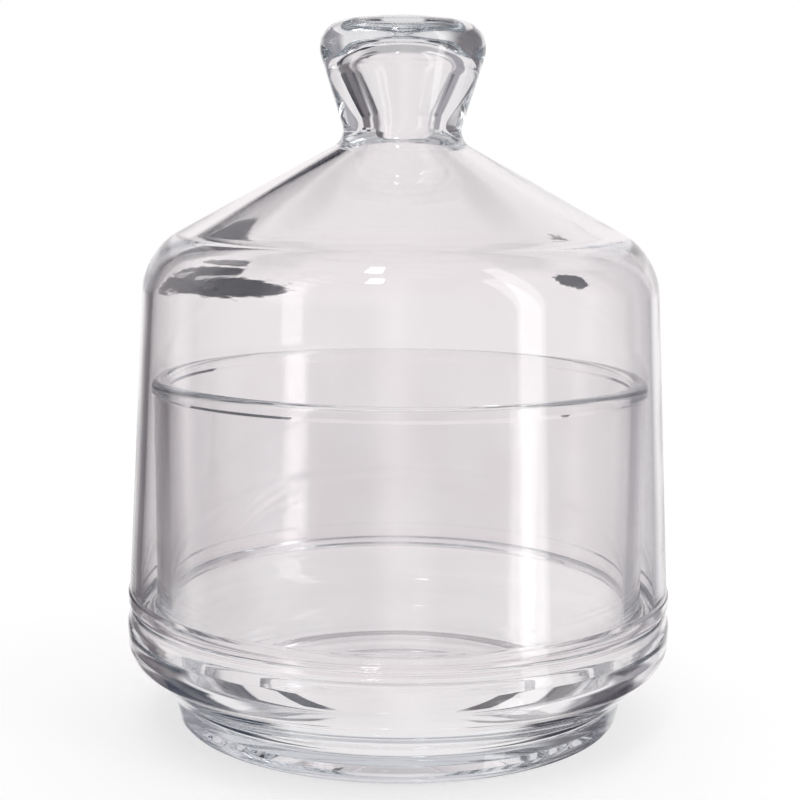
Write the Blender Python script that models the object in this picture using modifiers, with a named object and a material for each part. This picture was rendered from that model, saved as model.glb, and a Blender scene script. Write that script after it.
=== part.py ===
"""A covered glass jar: a footed dish with a tall collar, and a bell lid with a hollow knob.

Metres, +Z up. The origin is on the axis of both pieces, on the plane that the foot
rests on. Both pieces are turned shapes: each is one outline, with its corners rounded
by arcs, and a Screw modifier that takes it round the axis.
"""

from math import acos, cos, hypot, pi, radians, sin, tan

import bpy

MM = 0.001
TURN_STEPS = 48
ARC_STEP = radians(22.5)

# The dish: foot and belly.
FOOT_R = 58.6 * MM
FOOT_TOP_Z = 9.0 * MM
FOOT_TOP_R = 60.6 * MM
REST_INNER_R = 38.0 * MM
RECESS_DEPTH = 1.5 * MM
PUNT_HEIGHT = 2.0 * MM
BELLY_R = 72.0 * MM
BELLY_LOW_Z = 19.0 * MM
BELLY_INNER_R = 68.2 * MM
LEDGE_Z = 31.5 * MM
FLOOR_Z = 5.5 * MM

# The dish: collar that the lid slides over.
COLLAR_R = 64.3 * MM
COLLAR_WALL = 3.6 * MM
COLLAR_TOP_Z = 91.0 * MM
LIP_OUT = 0.6 * MM
LIP_TALL = 2.8 * MM

# The lid: skirt, cone and neck.
SEAT_GAP = 0.3 * MM
SKIRT_R = 71.2 * MM
SKIRT_TOP_R = 66.5 * MM
SKIRT_TOP_Z = 123.3 * MM
SKIRT_WALL = 2.5 * MM
BEAD_OUT = 0.5 * MM
BEAD_TALL = 3.2 * MM
NECK_R = 14.4 * MM
NECK_Z = 152.2 * MM
CONE_INNER_Z = 120.5 * MM
BORE_R = 7.6 * MM
BORE_LOW_Z = 151.8 * MM
BORE_TOP_Z = 158.0 * MM

# The lid: knob.
KNOB_R = 23.6 * MM
KNOB_EDGE_Z = 181.0 * MM
KNOB_TOP_Z = 184.0 * MM
CAVITY_R = 16.0 * MM
CAVITY_EDGE_Z = 175.6 * MM
CAVITY_TOP_Z = 177.0 * MM


def rounded_corner(before, corner, after, radius):
    """The points of the arc that rounds a corner of an outline, or the corner if radius is 0."""
    if radius == 0:
        return [corner]
    back = hypot(before[0] - corner[0], before[1] - corner[1])
    ahead = hypot(after[0] - corner[0], after[1] - corner[1])
    u = ((before[0] - corner[0]) / back, (before[1] - corner[1]) / back)
    v = ((after[0] - corner[0]) / ahead, (after[1] - corner[1]) / ahead)
    between = acos(max(-1.0, min(1.0, u[0] * v[0] + u[1] * v[1])))
    turn = pi - between
    reach = radius / tan(between / 2)
    middle = (u[0] + v[0], u[1] + v[1])
    scale = radius / sin(between / 2) / hypot(*middle)
    centre = (corner[0] + middle[0] * scale, corner[1] + middle[1] * scale)
    start = (corner[0] + u[0] * reach - centre[0], corner[1] + u[1] * reach - centre[1])
    clockwise = u[0] * v[1] - u[1] * v[0] > 0
    steps = max(2, round(turn / ARC_STEP))
    points = []
    for i in range(steps + 1):
        angle = turn * i / steps * (-1 if clockwise else 1)
        c, s = cos(angle), sin(angle)
        points.append((centre[0] + start[0] * c - start[1] * s,
                       centre[1] + start[0] * s + start[1] * c))
    return points


def outline(corners):
    """Points of an outline from (radius, height, corner radius), its first and last on the axis."""
    points = [corners[0][:2]]
    for i in range(1, len(corners) - 1):
        before, corner, after = corners[i - 1], corners[i], corners[i + 1]
        points += rounded_corner(before[:2], corner[:2], after[:2], corner[2])
    points.append(corners[-1][:2])
    return points


def dish_outline():
    """From the floor's centre up the inside, over the rim, down the outside and under the foot."""
    inner_r = COLLAR_R - COLLAR_WALL
    lip_r = COLLAR_R + LIP_OUT
    lip_z = COLLAR_TOP_Z - LIP_TALL
    return outline([
        (0, FLOOR_Z, 0),
        (52 * MM, FLOOR_Z + 1 * MM, 14 * MM),
        (57 * MM, FLOOR_Z + 6.5 * MM, 4 * MM),
        (66 * MM, FLOOR_Z + 13.5 * MM, 8 * MM),
        (BELLY_INNER_R, LEDGE_Z - 3.5 * MM, 4 * MM),
        (inner_r, LEDGE_Z - 0.5 * MM, 2.5 * MM),
        (inner_r, COLLAR_TOP_Z, 1.6 * MM),
        (lip_r, COLLAR_TOP_Z, 1.6 * MM),
        (lip_r, lip_z, 0.6 * MM),
        (COLLAR_R, lip_z - 1.0 * MM, 0.8 * MM),
        (COLLAR_R, LEDGE_Z, 1.5 * MM),
        (BELLY_R - 1.5 * MM, LEDGE_Z, 1.2 * MM),
        (BELLY_R, LEDGE_Z - 4.5 * MM, 5 * MM),
        (BELLY_R - 0.3 * MM, BELLY_LOW_Z, 6 * MM),
        (FOOT_TOP_R, FOOT_TOP_Z, 6 * MM),
        (FOOT_R, 0, 2.4 * MM),
        (REST_INNER_R, 0, 0.5 * MM),
        (REST_INNER_R - 3 * MM, RECESS_DEPTH, 2 * MM),
        (0, PUNT_HEIGHT, 0),
    ])


def lid_outline():
    """From the knob's top down the outside, round the rim, up the inside and into the knob."""
    rim_z = LEDGE_Z + SEAT_GAP
    bead_r = SKIRT_R + BEAD_OUT
    bead_z = rim_z + BEAD_TALL
    inner_r = SKIRT_R - SKIRT_WALL
    return outline([
        (0, KNOB_TOP_Z, 0),
        (KNOB_R, KNOB_EDGE_Z, 7.2 * MM),
        (NECK_R, NECK_Z, 4.5 * MM),
        (SKIRT_TOP_R, SKIRT_TOP_Z, 17 * MM),
        (SKIRT_R, bead_z + 1.0 * MM, 0.8 * MM),
        (bead_r, bead_z, 0.6 * MM),
        (bead_r, rim_z, 1.2 * MM),
        (inner_r, rim_z, 1.0 * MM),
        (SKIRT_TOP_R - SKIRT_WALL, CONE_INNER_Z, 14 * MM),
        (BORE_R, BORE_LOW_Z, 6 * MM),
        (BORE_R, BORE_TOP_Z, 5 * MM),
        (CAVITY_R, CAVITY_EDGE_Z, 5 * MM),
        (0, CAVITY_TOP_Z, 0),
    ])


def clear_glass(name, colour, roughness):
    material = bpy.data.materials.new(name)
    material.use_nodes = True
    shader = material.node_tree.nodes["Principled BSDF"]
    shader.inputs["Base Color"].default_value = (*colour, 1)
    shader.inputs["Metallic"].default_value = 0
    shader.inputs["Roughness"].default_value = roughness
    shader.inputs["Transmission Weight"].default_value = 1
    shader.inputs["IOR"].default_value = 1.52
    material.diffuse_color = (*colour, 1)
    return material


def turned(name, points, material, collection):
    """A solid of revolution about Z from an outline that starts and ends on the axis."""
    mesh = bpy.data.meshes.new(name)
    vertices = [(r, 0, z) for r, z in points]
    edges = [(i, i + 1) for i in range(len(points) - 1)]
    mesh.from_pydata(vertices, edges, [])
    mesh.materials.append(material)
    piece = bpy.data.objects.new(name, mesh)
    collection.objects.link(piece)
    screw = piece.modifiers.new("turn", "SCREW")
    screw.axis = "Z"
    screw.angle = 2 * pi
    screw.steps = TURN_STEPS
    screw.render_steps = TURN_STEPS
    screw.use_merge_vertices = True
    screw.merge_threshold = 0.00001
    screw.use_smooth_shade = True
    return piece


def clear_scene():
    for thing in list(bpy.data.objects):
        bpy.data.objects.remove(thing)


def build():
    clear_scene()
    jar = bpy.data.collections.new("covered_jar")
    bpy.context.scene.collection.children.link(jar)
    body_glass = clear_glass("dish_glass", (0.90, 0.92, 0.93), 0.03)
    lid_glass = clear_glass("lid_glass", (0.92, 0.92, 0.93), 0.03)
    turned("dish", dish_outline(), body_glass, jar)
    turned("lid", lid_outline(), lid_glass, jar)


build()
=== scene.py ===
"""Looks of the covered glass jar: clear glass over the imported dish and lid, in a pale studio."""

from math import acos, pi, radians, tan

import bpy
from mathutils import Matrix, Vector


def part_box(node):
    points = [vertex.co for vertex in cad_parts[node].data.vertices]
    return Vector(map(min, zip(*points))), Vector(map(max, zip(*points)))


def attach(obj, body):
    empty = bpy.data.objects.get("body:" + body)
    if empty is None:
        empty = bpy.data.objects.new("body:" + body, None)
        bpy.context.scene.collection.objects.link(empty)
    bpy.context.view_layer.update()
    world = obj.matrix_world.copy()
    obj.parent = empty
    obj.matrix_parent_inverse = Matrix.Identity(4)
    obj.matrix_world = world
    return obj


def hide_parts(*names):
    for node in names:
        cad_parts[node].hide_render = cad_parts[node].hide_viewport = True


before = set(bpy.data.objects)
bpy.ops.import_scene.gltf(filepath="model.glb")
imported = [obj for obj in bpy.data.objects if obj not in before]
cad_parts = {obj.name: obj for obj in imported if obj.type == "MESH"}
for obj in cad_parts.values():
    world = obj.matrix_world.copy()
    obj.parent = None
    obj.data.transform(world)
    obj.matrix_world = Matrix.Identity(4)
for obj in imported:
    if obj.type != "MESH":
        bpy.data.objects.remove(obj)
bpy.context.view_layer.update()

MM = 0.001
SKIN = 0.04 * MM
TURN_STEPS = 224
ARC_STEP = radians(7.5)
SHARP_ANGLE = radians(35)
SAME_PLACE = 1e-6

DISH_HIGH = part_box("dish")[1]
LID_LOW, LID_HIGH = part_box("lid")

# Dish.
BELLY_R = DISH_HIGH.x - SKIN
LIP_Z = DISH_HIGH.z
SEAT_GAP = 0.3 * MM
LEDGE_Z = LID_LOW.z - SEAT_GAP
FOOT_R = 58.6 * MM
FOOT_TOP_R = 60.6 * MM
FOOT_TOP_Z = 9.0 * MM
REST_INNER_R = 38.0 * MM
RECESS_DEPTH = 1.5 * MM
PUNT_HEIGHT = 2.0 * MM
BELLY_LOW_Z = 19.0 * MM
BELLY_INNER_R = 68.2 * MM
FLOOR_Z = 5.5 * MM
COLLAR_R = 64.3 * MM
COLLAR_WALL = 3.6 * MM
LIP_OUT = 0.6 * MM
LIP_TALL = 2.8 * MM

# Lid.
RIM_Z = LID_LOW.z
KNOB_TOP_Z = LID_HIGH.z - SKIN
BEAD_R = LID_HIGH.x - SKIN
BEAD_OUT = 0.5 * MM
BEAD_TALL = 3.2 * MM
SKIRT_R = BEAD_R - BEAD_OUT
SKIRT_TOP_R = 66.5 * MM
SKIRT_TOP_Z = 123.3 * MM
SKIRT_WALL = 2.5 * MM
NECK_R = 14.4 * MM
NECK_Z = 152.2 * MM
CONE_INNER_Z = 120.5 * MM
BORE_R = 7.6 * MM
BORE_LOW_Z = 151.8 * MM
BORE_TOP_Z = 158.0 * MM
KNOB_R = 23.6 * MM
KNOB_EDGE_Z = 181.0 * MM
CAVITY_R = 16.0 * MM
CAVITY_EDGE_Z = 175.6 * MM
CAVITY_TOP_Z = 177.0 * MM

# Glass: the colour that long ways through it take on, and how strongly, per metre.
GLASS_COLOUR = (0.80, 0.83, 0.85, 1)
GLASS_DENSITY = 18
GLASS_IOR = 1.5

# Studio.
BACKDROP_COLOUR = (0.96, 0.925, 0.935, 1)
FLOOR_SIZE = 3.0
FLOOR_DROP = 0.2 * MM
FLOOR_FADE_START = 0.15
FLOOR_FADE_END = 0.75
BOUNCES = 40

# Camera.
PICTURE = 800
FOCAL = 1600
SENSOR = 36.0
CAMERA_BACK = 0.420
CAMERA_HIGH = 0.1418
CAMERA_DOWN = 0.1369
CAMERA_ROLL = 0.0085


def select_vertices(piece, wanted):
    """Selects the vertices that wanted(position) accepts, and leaves the piece in edit mode."""
    bpy.ops.object.mode_set(mode="EDIT")
    bpy.ops.mesh.select_mode(type="VERT")
    bpy.ops.mesh.select_all(action="DESELECT")
    bpy.ops.object.mode_set(mode="OBJECT")
    for vertex in piece.data.vertices:
        vertex.select = wanted(vertex.co)
    bpy.ops.object.mode_set(mode="EDIT")


def corner_reach(before, corner, after, radius):
    """How far along both edges a corner's arc of this radius starts, and how far it turns."""
    u = Vector((before[0] - corner[0], before[1] - corner[1])).normalized()
    v = Vector((after[0] - corner[0], after[1] - corner[1])).normalized()
    between = acos(max(-1.0, min(1.0, u.dot(v))))
    return radius / tan(between / 2), pi - between


def draw_outline(name, corners):
    """An outline in the XZ plane from (radius, height, corner radius): one vertex is extruded
    from corner to corner, and each corner is then rounded."""
    bpy.ops.object.select_all(action="DESELECT")
    start = (corners[0][0], 0, corners[0][1])
    bpy.ops.mesh.primitive_plane_add(size=0.0002, location=start)
    piece = bpy.context.object
    piece.name = name
    bpy.ops.object.transform_apply(location=True)
    bpy.ops.object.mode_set(mode="EDIT")
    bpy.ops.mesh.merge(type="CENTER")
    for i in range(1, len(corners)):
        step = (corners[i][0] - corners[i - 1][0], 0, corners[i][1] - corners[i - 1][1])
        bpy.ops.mesh.extrude_region_move(TRANSFORM_OT_translate={"value": step})
    for i in range(1, len(corners) - 1):
        r, z, radius = corners[i]
        if radius == 0:
            continue
        reach, turn = corner_reach(corners[i - 1], corners[i], corners[i + 1], radius)
        here = Vector((r, 0, z))
        select_vertices(piece, lambda co: (co - here).length < SAME_PLACE)
        bpy.ops.mesh.bevel(offset_type="OFFSET", offset=reach, affect="VERTICES",
                           segments=max(2, round(turn / ARC_STEP)), profile=0.5)
    return piece


def turn_outline(piece):
    """Spins the outline once round the Z axis and closes the seam and both poles."""
    bpy.ops.object.mode_set(mode="EDIT")
    bpy.ops.mesh.select_all(action="SELECT")
    bpy.ops.mesh.spin(steps=TURN_STEPS, angle=2 * pi, center=(0, 0, 0), axis=(0, 0, 1))
    bpy.ops.mesh.select_all(action="SELECT")
    bpy.ops.mesh.remove_doubles(threshold=SAME_PLACE)
    bpy.ops.mesh.normals_make_consistent(inside=False)
    bpy.ops.object.mode_set(mode="OBJECT")
    bpy.ops.object.shade_smooth_by_angle(angle=SHARP_ANGLE)


def keep_broad_faces_flat(piece):
    """Lets the broad faces set the shading, so that the dish's floor stays even up to its edge."""
    even = piece.modifiers.new("even_normals", "WEIGHTED_NORMAL")
    even.keep_sharp = True
    bpy.ops.object.modifier_apply(modifier=even.name)


def make_dish():
    """From the floor's centre up the inside, over the lip, down the outside and under the foot."""
    inner_r = COLLAR_R - COLLAR_WALL
    lip_r = COLLAR_R + LIP_OUT
    lip_low = LIP_Z - LIP_TALL
    piece = draw_outline("dish_glass_body", [
        (0, FLOOR_Z, 0),
        (52 * MM, FLOOR_Z + 1 * MM, 14 * MM),
        (57 * MM, FLOOR_Z + 6.5 * MM, 4 * MM),
        (66 * MM, FLOOR_Z + 13.5 * MM, 8 * MM),
        (BELLY_INNER_R, LEDGE_Z - 3.5 * MM, 4 * MM),
        (inner_r, LEDGE_Z - 0.5 * MM, 2.5 * MM),
        (inner_r, LIP_Z, 1.6 * MM),
        (lip_r, LIP_Z, 1.6 * MM),
        (lip_r, lip_low, 0.6 * MM),
        (COLLAR_R, lip_low - 1.0 * MM, 0.8 * MM),
        (COLLAR_R, LEDGE_Z, 1.5 * MM),
        (BELLY_R - 1.5 * MM, LEDGE_Z, 1.2 * MM),
        (BELLY_R, LEDGE_Z - 4.5 * MM, 5 * MM),
        (BELLY_R - 0.3 * MM, BELLY_LOW_Z, 6 * MM),
        (FOOT_TOP_R, FOOT_TOP_Z, 6 * MM),
        (FOOT_R, 0, 2.4 * MM),
        (REST_INNER_R, 0, 0.5 * MM),
        (REST_INNER_R - 3 * MM, RECESS_DEPTH, 2 * MM),
        (0, PUNT_HEIGHT, 0),
    ])
    turn_outline(piece)
    keep_broad_faces_flat(piece)
    return piece


def make_lid():
    """From the knob's top down the outside, round the rim, up the inside and into the knob."""
    bead_z = RIM_Z + BEAD_TALL
    inner_r = SKIRT_R - SKIRT_WALL
    piece = draw_outline("lid_glass_body", [
        (0, KNOB_TOP_Z, 0),
        (KNOB_R, KNOB_EDGE_Z, 7.2 * MM),
        (NECK_R, NECK_Z, 4.5 * MM),
        (SKIRT_TOP_R, SKIRT_TOP_Z, 17 * MM),
        (SKIRT_R, bead_z + 1.0 * MM, 0.8 * MM),
        (BEAD_R, bead_z, 0.6 * MM),
        (BEAD_R, RIM_Z, 1.2 * MM),
        (inner_r, RIM_Z, 1.0 * MM),
        (SKIRT_TOP_R - SKIRT_WALL, CONE_INNER_Z, 14 * MM),
        (BORE_R, BORE_LOW_Z, 6 * MM),
        (BORE_R, BORE_TOP_Z, 5 * MM),
        (CAVITY_R, CAVITY_EDGE_Z, 5 * MM),
        (0, CAVITY_TOP_Z, 0),
    ])
    turn_outline(piece)
    return piece


def node(tree, kind, **settings):
    """A new node: small-letter settings are its properties, the others are its sockets."""
    made = tree.nodes.new(kind)
    for key, value in settings.items():
        if key.islower():
            setattr(made, key, value)
        else:
            made.inputs[key.replace("_", " ")].default_value = value
    return made


def clear_glass(name):
    """Clear glass with faint upright draw lines, slow ripples and a little colour of its own."""
    material = bpy.data.materials.new(name)
    material.use_nodes = True
    tree = material.node_tree
    tree.nodes.clear()
    place = node(tree, "ShaderNodeTexCoord")
    stretch = node(tree, "ShaderNodeMapping")
    stretch.inputs["Scale"].default_value = (1, 1, 0.06)
    lines = node(tree, "ShaderNodeTexNoise", Scale=260, Detail=3)
    ripples = node(tree, "ShaderNodeTexNoise", Scale=42, Detail=1.5)
    line_bump = node(tree, "ShaderNodeBump", Strength=0.03, Distance=0.0002)
    ripple_bump = node(tree, "ShaderNodeBump", Strength=0.06, Distance=0.0006)
    tint = node(tree, "ShaderNodeValToRGB")
    tint.color_ramp.elements[0].position = 0.35
    tint.color_ramp.elements[0].color = (0.955, 0.94, 0.943, 1)
    tint.color_ramp.elements[1].position = 0.65
    tint.color_ramp.elements[1].color = (0.975, 0.965, 0.967, 1)
    glass = node(tree, "ShaderNodeBsdfPrincipled", Roughness=0.0, IOR=GLASS_IOR)
    glass.inputs["Transmission Weight"].default_value = 1
    inside = node(tree, "ShaderNodeVolumeAbsorption", Density=GLASS_DENSITY)
    inside.inputs["Color"].default_value = GLASS_COLOUR
    out = node(tree, "ShaderNodeOutputMaterial")
    join = tree.links.new
    join(place.outputs["Object"], stretch.inputs["Vector"])
    join(stretch.outputs["Vector"], lines.inputs["Vector"])
    join(place.outputs["Object"], ripples.inputs["Vector"])
    join(lines.outputs["Fac"], line_bump.inputs["Height"])
    join(ripples.outputs["Fac"], ripple_bump.inputs["Height"])
    join(line_bump.outputs["Normal"], ripple_bump.inputs["Normal"])
    join(ripple_bump.outputs["Normal"], glass.inputs["Normal"])
    join(ripples.outputs["Fac"], tint.inputs["Fac"])
    join(tint.outputs["Color"], glass.inputs["Base Color"])
    join(glass.outputs["BSDF"], out.inputs["Surface"])
    join(inside.outputs["Volume"], out.inputs["Volume"])
    return material


def make_camera():
    """A camera in front of the jar, a little above its middle and looking slightly down."""
    lens = bpy.data.cameras.new("camera")
    lens.sensor_width = SENSOR
    lens.lens = FOCAL * SENSOR / PICTURE
    camera = bpy.data.objects.new("camera", lens)
    bpy.context.scene.collection.objects.link(camera)
    place = Matrix.Translation((0, -CAMERA_BACK, CAMERA_HIGH))
    tilt = Matrix.Rotation(pi / 2 - CAMERA_DOWN, 4, "X")
    roll = Matrix.Rotation(CAMERA_ROLL, 4, "Z")
    camera.matrix_world = place @ tilt @ roll
    bpy.context.scene.camera = camera


def softbox(name, place, aim, width, height, power):
    """A soft lamp that lights the floor and isn't seen in or through the glass."""
    lamp = bpy.data.lights.new(name, "AREA")
    lamp.shape = "RECTANGLE"
    lamp.size = width
    lamp.size_y = height
    lamp.energy = power
    box = bpy.data.objects.new(name, lamp)
    bpy.context.scene.collection.objects.link(box)
    box.location = place
    box.rotation_euler = (Vector(aim) - Vector(place)).to_track_quat("-Z", "Y").to_euler()
    box.visible_camera = False
    box.visible_glossy = False
    box.visible_transmission = False


def band(tree, angle, middle, half, soft):
    """1 where an angle is within half of middle, falling to 0 over soft; all in radians."""
    off = node(tree, "ShaderNodeMath", operation="SUBTRACT")
    off.inputs[1].default_value = middle
    size = node(tree, "ShaderNodeMath", operation="ABSOLUTE")
    fall = node(tree, "ShaderNodeMapRange", interpolation_type="SMOOTHSTEP")
    fall.inputs["From Min"].default_value = half + soft
    fall.inputs["From Max"].default_value = half
    tree.links.new(angle, off.inputs[0])
    tree.links.new(off.outputs[0], size.inputs[0])
    tree.links.new(size.outputs[0], fall.inputs["Value"])
    return fall.outputs["Result"]


# What surrounds the glass: middle azimuth, middle elevation, half width, half height and soft
# edge in degrees, then brightness. Azimuth 0 is behind the jar and 90 is on its right.
SURROUNDINGS = (
    ("room", 180, 0, 110, 90, 40, (0.72, 0.70, 0.71)),
    ("floor_white", 0, -60, 180, 40, 30, (0.93, 0.92, 0.925)),
    ("ceiling_light", 0, 80, 180, 28, 25, (0.55, 0.54, 0.55)),
    ("left_flag", -125, -28, 42, 34, 14, (0.45, 0.46, 0.49)),
    ("right_flag", 150, -30, 10, 20, 12, (0.45, 0.45, 0.45)),
    ("left_edge_flag", -45, -6, 14, 26, 12, (0.18, 0.165, 0.18)),
    ("right_edge_flag", 50, -6, 11, 40, 8, (0.36, 0.35, 0.38)),
    ("left_side_flag", -98, 5, 13, 45, 10, (0.22, 0.22, 0.23)),
    ("right_panel", 100, 5, 20, 50, 8, (1.0, 0.99, 1.0)),
    ("right_window", 122.5, 5, 5, 50, 2, (3.4, 3.4, 3.4)),
    ("left_cone_flag", -26, 31, 9, 7, 4, (0.025, 0.025, 0.04)),
    ("left_foot_flag", -37, -41, 19, 10, 5, (0.04, 0.05, 0.075)),
    ("right_foot_flag", 36, -40, 18, 10, 5, (0.05, 0.045, 0.06)),
    ("small_front_lamp", -163, 60, 5, 4, 1, (14.0, 14.0, 14.0)),
)


def make_world():
    """A white backdrop with flags and lights round it, as directions from the jar."""
    world = bpy.data.worlds.new("studio")
    bpy.context.scene.world = world
    world.use_nodes = True
    tree = world.node_tree
    tree.nodes.clear()
    join = tree.links.new
    place = node(tree, "ShaderNodeTexCoord")
    parts = node(tree, "ShaderNodeSeparateXYZ")
    azimuth = node(tree, "ShaderNodeMath", operation="ARCTAN2")
    elevation = node(tree, "ShaderNodeMath", operation="ARCSINE")
    join(place.outputs["Generated"], parts.inputs["Vector"])
    join(parts.outputs["X"], azimuth.inputs[0])
    join(parts.outputs["Y"], azimuth.inputs[1])
    join(parts.outputs["Z"], elevation.inputs[0])
    shade = node(tree, "ShaderNodeRGB")
    shade.outputs["Color"].default_value = BACKDROP_COLOUR
    colour = shade.outputs["Color"]
    for name, az, el, half_az, half_el, soft, light in SURROUNDINGS:
        across = band(tree, azimuth.outputs[0], radians(az), radians(half_az), radians(soft))
        up = band(tree, elevation.outputs[0], radians(el), radians(half_el), radians(soft))
        both = node(tree, "ShaderNodeMath", operation="MULTIPLY")
        mix = node(tree, "ShaderNodeMix", data_type="RGBA", label=name)
        mix.inputs["B"].default_value = (*light, 1)
        join(across, both.inputs[0])
        join(up, both.inputs[1])
        join(both.outputs[0], mix.inputs["Factor"])
        join(colour, mix.inputs["A"])
        colour = mix.outputs["Result"]
    seen = node(tree, "ShaderNodeBackground", Strength=1.0)
    backdrop = node(tree, "ShaderNodeBackground", Strength=1.0)
    backdrop.inputs["Color"].default_value = (1, 1, 1, 1)
    ray = node(tree, "ShaderNodeLightPath")
    choose = node(tree, "ShaderNodeMixShader")
    out = node(tree, "ShaderNodeOutputWorld")
    join(colour, seen.inputs["Color"])
    join(ray.outputs["Is Camera Ray"], choose.inputs["Fac"])
    join(seen.outputs["Background"], choose.inputs[1])
    join(backdrop.outputs["Background"], choose.inputs[2])
    join(choose.outputs["Shader"], out.inputs["Surface"])


def make_floor():
    """A pale disc that fades out into the backdrop, so that there is no horizon line."""
    bpy.ops.object.select_all(action="DESELECT")
    bpy.ops.mesh.primitive_plane_add(size=FLOOR_SIZE, location=(0, 0, -FLOOR_DROP))
    floor = bpy.context.object
    floor.name = "studio_floor"
    material = bpy.data.materials.new("pale_floor")
    material.use_nodes = True
    tree = material.node_tree
    shader = tree.nodes["Principled BSDF"]
    shader.inputs["Base Color"].default_value = (0.36, 0.355, 0.36, 1)
    shader.inputs["Roughness"].default_value = 0.8
    shader.inputs["Emission Color"].default_value = (1, 0.995, 0.997, 1)
    shader.inputs["Emission Strength"].default_value = 0.66
    place = node(tree, "ShaderNodeTexCoord")
    far = node(tree, "ShaderNodeVectorMath", operation="LENGTH")
    fade = node(tree, "ShaderNodeMapRange", interpolation_type="SMOOTHSTEP")
    fade.inputs["From Min"].default_value = FLOOR_FADE_END
    fade.inputs["From Max"].default_value = FLOOR_FADE_START
    tree.links.new(place.outputs["Object"], far.inputs[0])
    tree.links.new(far.outputs["Value"], fade.inputs["Value"])
    tree.links.new(fade.outputs["Result"], shader.inputs["Alpha"])
    floor.data.materials.append(material)
    floor.visible_transmission = False
    floor.visible_glossy = False


def flag_cloth():
    """Dark cloth on an oval card, with a frayed edge."""
    material = bpy.data.materials.new("flag_cloth")
    material.use_nodes = True
    tree = material.node_tree
    tree.nodes.clear()
    place = node(tree, "ShaderNodeTexCoord")
    middle = node(tree, "ShaderNodeVectorMath", operation="LENGTH")
    fray = node(tree, "ShaderNodeTexNoise", Scale=3.2, Detail=4)
    uneven = node(tree, "ShaderNodeMath", operation="MULTIPLY_ADD")
    uneven.inputs[1].default_value = 0.9
    edge = node(tree, "ShaderNodeMapRange", interpolation_type="SMOOTHSTEP")
    edge.inputs["From Min"].default_value = 1.35
    edge.inputs["From Max"].default_value = 1.15
    dark = node(tree, "ShaderNodeEmission")
    dark.inputs["Color"].default_value = (0.035, 0.036, 0.048, 1)
    clear = node(tree, "ShaderNodeBsdfTransparent")
    mix = node(tree, "ShaderNodeMixShader")
    out = node(tree, "ShaderNodeOutputMaterial")
    join = tree.links.new
    join(place.outputs["Object"], middle.inputs[0])
    join(place.outputs["Object"], fray.inputs["Vector"])
    join(fray.outputs["Fac"], uneven.inputs[0])
    join(middle.outputs["Value"], uneven.inputs[2])
    join(uneven.outputs[0], edge.inputs["Value"])
    join(edge.outputs["Result"], mix.inputs["Fac"])
    join(clear.outputs["BSDF"], mix.inputs[1])
    join(dark.outputs["Emission"], mix.inputs[2])
    join(mix.outputs["Shader"], out.inputs["Surface"])
    return material


# Small flags hung behind the jar, which only its glass shows: middle (x, y, z), half length and
# half height in millimetres, and how far the right end is turned down in degrees.
FLAGS = (
    ("left_flag_low", (-63, 105, 118), 29, 10, 5),
    ("left_flag_high", (-73, 105, 130), 24, 14, -20),
    ("left_flag_end", (-92, 105, 121), 16, 13, 0),
    ("right_flag_small", (60, 105, 126), 9, 6, 30),
)


def make_flags():
    cloth = flag_cloth()
    for name, place, long, tall, turn in FLAGS:
        bpy.ops.object.select_all(action="DESELECT")
        bpy.ops.mesh.primitive_plane_add(size=2.0, location=[v * MM for v in place],
                                         rotation=(pi / 2, radians(turn), 0))
        card = bpy.context.object
        card.name = name
        card.scale = (long * MM, tall * MM, 1)
        card.data.materials.append(cloth)
        card.visible_camera = False
        card.visible_diffuse = False
        card.visible_glossy = False
        card.visible_shadow = False


def make_studio():
    make_world()
    make_floor()
    make_flags()
    softbox("overhead_softbox", place=(0.0, 0.1, 1.1), aim=(0, 0, 0.05),
            width=1.2, height=1.2, power=5)
    view = bpy.context.scene.view_settings
    view.view_transform = "Standard"
    cycles = bpy.context.scene.cycles
    cycles.max_bounces = BOUNCES
    cycles.transmission_bounces = BOUNCES
    cycles.glossy_bounces = BOUNCES


def main():
    make_camera()
    make_studio()
    dish = make_dish()
    dish.data.materials.append(clear_glass("dish_clear_glass"))
    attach(dish, "dish")
    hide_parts("dish")
    lid = make_lid()
    lid.data.materials.append(clear_glass("lid_clear_glass"))
    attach(lid, "lid")
    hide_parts("lid")


main()
